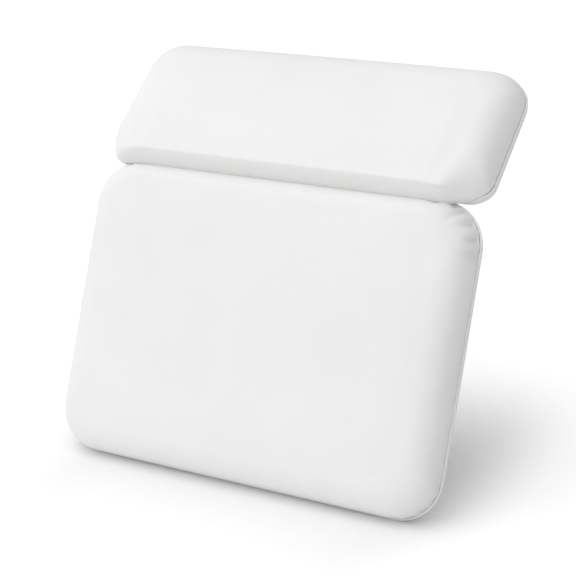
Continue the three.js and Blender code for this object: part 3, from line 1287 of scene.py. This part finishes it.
    def build(self, shop: Workshop, fittings: "CupFittings") -> None:
        """Builds the panel's covers, core and seam, and its cups.

        Args:
            shop: takes the pieces.
            fittings: the cups' shapes.
        """
        self.front_cover(shop)
        self.rear_cover(shop)
        self.foam_core(shop)
        self.seam_welt(shop)
        for cup in self.cups:
            seat = self.place @ Matrix.Translation((cup.x, self.section.thickness, cup.z))
            fittings.build(shop, self, cup, seat)


@dataclass(frozen=True)
class CupFittings:
    """A suction cup with the eyelet it turns in and the washer that holds the eyelet."""

    cup_radius: float = 0.023
    cup_height: float = 0.015
    rim_width: float = 0.003
    wall: float = 0.003
    shoulder_radius: float = 0.010
    neck_radius: float = 0.0048
    head_radius: float = 0.0085
    head_tip_radius: float = 0.006
    head_height: float = 0.0034
    bell_shares: tuple[float, ...] = (0.2, 0.4, 0.6, 0.8, 0.93)
    bell_flare: float = 1.12
    dome_shares: tuple[float, ...] = (0.85, 0.65, 0.45, 0.25)
    dome_curve: float = 1.25
    cup_ease: float = 0.0007
    eyelet_radius: float = 0.014
    eyelet_thickness: float = 0.0016
    eyelet_ease: float = 0.0004
    collar_wall: float = 0.0016
    neck_clearance: float = 0.0006
    washer_radius: float = 0.013
    washer_thickness: float = 0.0015
    washer_ease: float = 0.0003
    skin: float = Section.skin
    fit_gap: float = Section.fit_gap
    ease_steps: int = 3
    turns: int = 56

    @property
    def collar_bore(self) -> float:
        """The eyelet's bore."""
        return self.neck_radius + self.neck_clearance

    @property
    def collar_radius(self) -> float:
        """The eyelet's collar, outside."""
        return self.collar_bore + self.collar_wall

    @property
    def collar_length(self) -> float:
        """How far the collar goes through the cover and the washer."""
        return self.skin + self.fit_gap + self.washer_thickness

    @property
    def eyelet_top(self) -> float:
        """The outer face of the eyelet's flange."""
        return self.fit_gap + self.eyelet_thickness

    def turned(self, profile: Iterable[tuple[float, float]], closed: bool, ease: float) -> bmesh.types.BMesh:
        """Turns a profile about the cup's axis.

        Args:
            profile: radii and depths behind the rear cover, in order.
            closed: whether the profile comes back to its start.
            ease: how far its corners are rounded.

        Returns:
            The closed turned shape.
        """
        bm = bmesh.new()
        points = [bm.verts.new((radius, depth, 0.0)) for radius, depth in profile]
        pairs = list(zip(points, points[1:]))
        if closed:
            pairs.append((points[-1], points[0]))
        for pair in pairs:
            bm.edges.new(pair)
        bmesh.ops.bevel(
            bm,
            geom=[vert for vert in points if len(vert.link_edges) == 2],
            offset=ease,
            offset_type="OFFSET",
            affect="VERTICES",
            segments=self.ease_steps,
            profile=0.5,
            clamp_overlap=True,
            material=-1,
        )
        bmesh.ops.spin(
            bm,
            geom=bm.verts[:] + bm.edges[:],
            cent=(0.0, 0.0, 0.0),
            axis=(0.0, 1.0, 0.0),
            angle=2.0 * math.pi,
            steps=self.turns,
            use_merge=True,
        )
        bmesh.ops.remove_doubles(bm, verts=bm.verts, dist=MERGE_DISTANCE)
        bmesh.ops.recalc_face_normals(bm, faces=bm.faces)
        return bm

    def cup_shape(self) -> bmesh.types.BMesh:
        """Turns the cup: a mushroom head, a neck, a shoulder and a flared bell with a thin lip.

        Returns:
            The cup's shape.
        """
        seat = -self.collar_length - self.fit_gap
        tip = seat - self.head_height
        shoulder = self.eyelet_top + self.fit_gap
        hollow = shoulder + self.wall
        inner = self.cup_radius - self.rim_width
        bell = []
        for share in self.bell_shares:
            radius = self.shoulder_radius + (self.cup_radius - self.shoulder_radius) * share
            bell.append((radius, shoulder + (self.cup_height - shoulder) * share**self.bell_flare))
        dome = []
        for share in self.dome_shares:
            dome.append((inner * share, hollow + (self.cup_height - hollow) * share**self.dome_curve))
        profile = [
            (0.0, tip),
            (self.head_tip_radius, tip),
            (self.head_radius, tip + self.head_height / 2),
            (self.head_radius, seat),
            (self.neck_radius, seat),
            (self.neck_radius, shoulder),
            (self.shoulder_radius, shoulder),
            *bell,
            (self.cup_radius, self.cup_height),
            (inner, self.cup_height),
            *dome,
            (0.0, hollow),
        ]
        return self.turned(profile, closed=False, ease=self.cup_ease)

    def eyelet_shape(self) -> bmesh.types.BMesh:
        """Turns the eyelet: a domed flange on the rear cover and a collar through it.

        Returns:
            The eyelet's shape.
        """
        bead = self.eyelet_radius - self.eyelet_thickness / 2
        dish = (bead + self.collar_radius) / 2
        profile = [
            (self.collar_bore, -self.collar_length),
            (self.collar_radius, -self.collar_length),
            (self.collar_radius, self.fit_gap),
            (self.eyelet_radius, self.fit_gap),
            (bead, self.eyelet_top),
            (dish, self.eyelet_top - self.fit_gap),
            (self.collar_radius, self.eyelet_top),
            (self.collar_bore, self.eyelet_top),
        ]
        return self.turned(profile, closed=True, ease=self.eyelet_ease)

    def washer_shape(self) -> bmesh.types.BMesh:
        """Turns the washer that grips the collar inside the rear cover.

        Returns:
            The washer's shape.
        """
        bore = self.collar_radius + self.fit_gap
        seat = -self.skin - self.fit_gap
        profile = [
            (bore, seat - self.washer_thickness),
            (self.washer_radius, seat - self.washer_thickness),
            (self.washer_radius, seat),
            (bore, seat),
        ]
        return self.turned(profile, closed=True, ease=self.washer_ease)

    def build(self, shop: Workshop, panel: Panel, cup: CupPlace, seat: Matrix) -> None:
        """Builds one cup with its eyelet and washer.

        Args:
            shop: takes the pieces.
            panel: the panel that carries them.
            cup: the cup's place.
            seat: the cup's axis, where it leaves the rear cover.
        """
        pieces = (
            ("cup", "suction_cup", self.cup_shape(), Slot.PVC, f"{panel.name}_cup_{cup.side}"),
            ("grommet", "eyelet", self.eyelet_shape(), Slot.PLASTIC, panel.body),
            ("grip", "washer", self.washer_shape(), Slot.PLASTIC, panel.body),
        )
        for kind, node, shape, slot, body in pieces:
            name = f"{panel.name}_{cup.side}_{kind}"
            piece = shop.add(name, finished(shape, seat), slot, f"{panel.name}_{node}_{cup.side}")
            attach(piece, body)


@dataclass(frozen=True)
class HingeStrip:
    """The folded strip of vinyl between the panels' bevelled rear edges."""

    back_bevel: float = math.radians(65)
    head_bevel: float = math.radians(15)
    fold: float = math.radians(30)
    width: float = 0.258
    back_leg: float = 0.0134
    head_leg: float = 0.0057
    reach: float = 0.0003
    thickness: float = 0.0012
    bend_radius: float = 0.0006
    bend_half: float = 0.001
    corner: float = 0.003
    long_steps: int = 86
    cross_steps: int = 32

    def build(self, shop: Workshop, place: Matrix) -> bpy.types.Object:
        """Builds the strip about the hinge line.

        Args:
            shop: takes the piece.
            place: the hinge line, with the back panel straight down from it.

        Returns:
            The strip, which lies along both panels' rear edges.
        """
        bm = bmesh.new()
        bmesh.ops.create_grid(bm, x_segments=self.long_steps, y_segments=self.cross_steps, size=1.0)
        for vert in bm.verts:
            leg = self.head_leg if vert.co.y > 0.0 else self.back_leg
            along = vert.co.y * leg
            half = self.width / 2 - self._rounding(leg - abs(along))
            spot = self._on_section(along)
            spot.x = vert.co.x * half
            vert.co = spot
        bmesh.ops.recalc_face_normals(bm, faces=bm.faces)
        mesh = finished(bm, place)
        piece = shop.add("hinge_strip", mesh, Slot.VINYL, "hinge_web")
        wall = piece.modifiers.new("strip", "SOLIDIFY")
        wall.thickness = self.thickness
        wall.offset = 0.0
        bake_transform(piece)
        return piece

    def _slope(self, turn: float) -> Vector:
        """A direction across the strip, turned from the middle plane of its two legs."""
        angle = (self.head_bevel - self.fold - self.back_bevel) / 2 + turn
        return Vector((0.0, math.cos(angle), math.sin(angle)))

    def _rounding(self, from_end: float) -> float:
        """How far the strip's sides draw in at its rounded corners."""
        inside = max(self.corner - from_end, 0.0)
        return self.corner - math.sqrt(self.corner**2 - inside**2)

    def _on_section(self, along: float) -> Vector:
        """Finds a point on the strip's middle line.

        Args:
            along: the distance along it from the hinge line, positive on the head's leg.

        Returns:
            The point, from the hinge line.
        """
        opening = (self.back_bevel + self.head_bevel - self.fold) / 2
        from_line = math.hypot(along, self.bend_radius) - self.bend_radius
        rearwards = self._slope(0.0) * from_line * math.cos(opening)
        return rearwards + self._slope(math.pi / 2) * along * math.sin(opening)


@dataclass(frozen=True)
class Studio:
    """A pale floor, soft light from the front left and the photograph's camera."""

    eye: tuple = (0.57597, -1.03847, 0.41324)
    eye_azimuth: float = math.radians(28.585)
    eye_height: float = math.radians(17.521)
    lens: float = 96.717
    sensor: float = 36.0
    clip: tuple = (0.05, 60.0)
    floor_half: float = 15.0
    floor_cells: int = 4
    floor_tone: float = 0.9
    floor_glow: float = 0.31
    # The box round the pillow where the floor's glow is held back, painting shade there.
    shade_half: tuple = (0.124, 0.02, 1.0)
    shade_reach: tuple = (0.095, 0.275, 1.0)
    sky: float = 0.205
    dome: float = 1.14
    dome_azimuth: float = math.radians(-32)
    dome_height: float = math.radians(46)
    key_azimuth: float = math.radians(-30)
    key_height: float = math.radians(72)
    key_distance: float = 4.5
    key_size: float = 2.2
    key_power: float = 18.2

    def build(self, floor_height: float) -> None:
        """Builds the floor, the light and the camera.

        Args:
            floor_height: where the pillow's lowest point rests.
        """
        scene = bpy.context.scene
        scene.view_settings.view_transform = "Standard"
        self._camera(scene)
        self._key()
        self._world(scene)
        self._floor(floor_height)

    @staticmethod
    def _towards(azimuth: float, height: float) -> Vector:
        """A direction in front of the pillow, by its angles to the side and up."""
        level = math.cos(height)
        return Vector((math.sin(azimuth) * level, -math.cos(azimuth) * level, math.sin(height)))

    @staticmethod
    def _aimed(data: bpy.types.Camera | bpy.types.Light, towards: Vector) -> bpy.types.Object:
        """Puts a camera or a lamp into the scene.

        Args:
            data: the camera or lamp.
            towards: the direction that it looks back along.

        Returns:
            The object, which still has to be moved to its place.
        """
        aimed = in_scene(data.name, data)
        aimed.rotation_euler = (-towards).to_track_quat("-Z", "Y").to_euler()
        return aimed

    def _camera(self, scene: bpy.types.Scene) -> None:
        """Sets the camera, level from side to side.

        Args:
            scene: takes the camera.
        """
        data = bpy.data.cameras.new("camera")
        data.lens = self.lens
        data.sensor_width = self.sensor
        data.clip_start, data.clip_end = self.clip
        camera = self._aimed(data, self._towards(self.eye_azimuth, self.eye_height))
        camera.location = self.eye
        scene.camera = camera

    def _key(self) -> None:
        """Hangs one large soft lamp."""
        data = bpy.data.lights.new("key", "AREA")
        data.shape = "SQUARE"
        data.size = self.key_size
        data.energy = self.key_power
        towards = self._towards(self.key_azimuth, self.key_height)
        self._aimed(data, towards).location = towards * self.key_distance

    @staticmethod
    def _seen(bench: NodeBench) -> Wire:
        """1 for rays that show the background itself, straight, mirrored or through clear plastic."""
        path = bench.node("ShaderNodeLightPath")
        return bench.clamp(path[CAMERA_RAY] + path[GLOSSY_RAY] + path[TRANSMISSION_RAY])

    def _world(self, scene: bpy.types.Scene) -> None:
        """Makes a dome of light, brightest at the front left, which shows as white.

        Args:
            scene: takes the dome as its world.
        """
        world = bpy.data.worlds.new("studio")
        bench = NodeBench(world)
        direction = bench.node("ShaderNodeTexCoord")[WORLD_DIRECTION]
        facing = bench.vector("DOT_PRODUCT", direction, self._towards(self.dome_azimuth, self.dome_height))
        light = self.sky + bench.clamp(facing) * self.dome
        seen = self._seen(bench)
        strength = seen + (1.0 - seen) * light
        sky = bench.node("ShaderNodeBackground", None, {"Color": (1, 1, 1, 1), "Strength": strength})[0]
        bench.node("ShaderNodeOutputWorld", None, {"Surface": sky})
        scene.world = world

    def _floor(self, height: float) -> None:
        """Lays a wide pale floor that shows white, but for a box under and beside the pillow where its glow
        fades out, so painted shade joins the cast shadow there.

        Args:
            height: where the floor lies.
        """
        bm = bmesh.new()
        cells = self.floor_cells
        bmesh.ops.create_grid(bm, x_segments=cells, y_segments=cells, size=self.floor_half)
        mesh = finished(bm, Matrix.Translation((0.0, 0.0, height)))
        material = bpy.data.materials.new("pale_floor")
        bench = NodeBench(material)
        tone = (self.floor_tone, self.floor_tone, self.floor_tone, 1.0)
        matt = bench.node("ShaderNodeBsdfDiffuse", None, {"Color": tone})[0]
        # Painted shade: the glow is held back over a box round the pillow and eases in beyond it, so the
        # floor there is darker than its lighting alone makes it.
        spot = bench.vector("ABSOLUTE", bench.place())
        outside = bench.vector("MAXIMUM", bench.vector("SUBTRACT", spot, self.shade_half))
        away = bench.vector("LENGTH", bench.vector("DIVIDE", outside, self.shade_reach))
        limits = {"Value": away, "To Max": self.floor_glow}
        shown = bench.node("ShaderNodeMapRange", {"interpolation_type": "SMOOTHSTEP"}, limits)[0]
        glow = bench.node("ShaderNodeEmission", None, {"Strength": self._seen(bench) * shown})[0]
        surface = bench.node("ShaderNodeAddShader", None, {0: matt, 1: glow})[0]
        bench.node("ShaderNodeOutputMaterial", None, {"Surface": surface})
        mesh.materials.append(material)
        in_scene("floor", mesh)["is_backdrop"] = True


@dataclass
class BathPillow:
    """The whole pillow, in the pose of the photograph."""

    lean: float = math.radians(20)
    back_height: float = 0.244
    head_height: float = 0.118
    back_roll: float = 0.6
    head_roll: float = 0.24
    head_overhang: float = 0.0116
    fittings: CupFittings = field(default_factory=CupFittings)
    strip: HingeStrip = field(default_factory=HingeStrip)

    @property
    def back_section(self) -> Section:
        """The back panel's section."""
        return Section(self.strip.back_bevel, 0.0, self.back_roll, self.head_roll)

    @property
    def head_section(self) -> Section:
        """The head panel's section, which hangs over onto the back panel's."""
        return Section(self.strip.head_bevel, self.head_overhang, self.head_roll, self.back_roll)

    def back_place(self) -> Matrix:
        """Places the back panel.

        Returns:
            Its place: leaning back, with its cups' plane through the origin.
        """
        depth = self.back_section.thickness + self.fittings.cup_height
        shift = Vector((0.0, -depth, -self.back_height / 2))
        return Matrix.Rotation(-self.lean, 4, "X") @ Matrix.Translation(shift)

    def hinge_place(self) -> Matrix:
        """The hinge line's place, just behind the seam of the back panel's upper edge."""
        line = (0.0, self.back_section.rim_start, self.back_height + self.strip.reach)
        return self.back_place() @ Matrix.Translation(line)

    def head_place(self) -> Matrix:
        """Places the head panel.

        Returns:
            Its place, folded back on the hinge line.
        """
        folded = Matrix.Rotation(-self.strip.fold, 4, "X")
        shift = (0.0, -self.head_section.rim_start, self.strip.reach)
        return self.hinge_place() @ folded @ Matrix.Translation(shift)

    def panels(self) -> list[Panel]:
        """Sets out the two panels with their cups and gathers.

        Returns:
            The back panel and the head panel.
        """
        back = Panel(
            name="back",
            height=self.back_height,
            upper_corner=0.034,
            lower_corner=0.034,
            hinge_up=1,
            place=self.back_place(),
            section=self.back_section,
            cups=(
                CupPlace("upper_left", x=-0.108, z=0.185),
                CupPlace("upper_right", x=0.108, z=0.185),
                CupPlace("middle", x=0.0, z=0.122),
                CupPlace("lower_left", x=-0.108, z=0.059),
                CupPlace("lower_right", x=0.108, z=0.059),
            ),
            gathers={
                Corner.UPPER_RIGHT: Gathers(count=6, pitch=0.0118, depth=0.0032, reach=0.024, seed=3),
                Corner.UPPER_LEFT: Gathers(count=6, pitch=0.0115, depth=0.0028, reach=0.022, seed=8),
                Corner.LOWER_RIGHT: Gathers(count=5, pitch=0.0125, depth=0.0018, reach=0.011, seed=5),
                Corner.LOWER_LEFT: Gathers(count=5, pitch=0.0120, depth=0.0018, reach=0.011, seed=6),
            },
        )
        head = Panel(
            name="head",
            height=self.head_height,
            upper_corner=0.026,
            lower_corner=0.018,
            hinge_up=-1,
            place=self.head_place(),
            section=self.head_section,
            cups=(CupPlace("left", x=-0.096, z=0.059), CupPlace("right", x=0.096, z=0.059)),
            gathers={
                Corner.UPPER_RIGHT: Gathers(count=4, pitch=0.0110, depth=0.0010, reach=0.010, seed=11),
                Corner.UPPER_LEFT: Gathers(count=4, pitch=0.0110, depth=0.0010, reach=0.010, seed=12),
                Corner.LOWER_RIGHT: Gathers(count=5, pitch=0.0110, depth=0.0012, reach=0.011, seed=13),
                Corner.LOWER_LEFT: Gathers(count=5, pitch=0.0110, depth=0.0012, reach=0.011, seed=14),
            },
            high_steps=8,
        )
        return [back, head]

    def build(self, shop: Workshop) -> None:
        """Builds every piece of the pillow.

        Args:
            shop: takes the pieces.
        """
        for panel in self.panels():
            panel.build(shop, self.fittings)
        self.strip.build(shop, self.hinge_place())


def main() -> None:
    """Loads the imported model, dresses it and sets the studio round it."""
    logging.basicConfig(level=logging.INFO, format="%(name)s: %(message)s")
    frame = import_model()
    packed_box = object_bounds()
    finishes = (VinylFinish(), FoamFinish(), PvcFinish(), PlasticFinish())
    materials = {finish.slot: finish.material() for finish in finishes}
    shop = Workshop(materials, frame["nodes"])
    BathPillow().build(shop)
    LOG.info("%d pieces", shop.count)
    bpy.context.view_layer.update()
    Studio().build(packed_box[0].z)


if __name__ == "__main__":
    main()
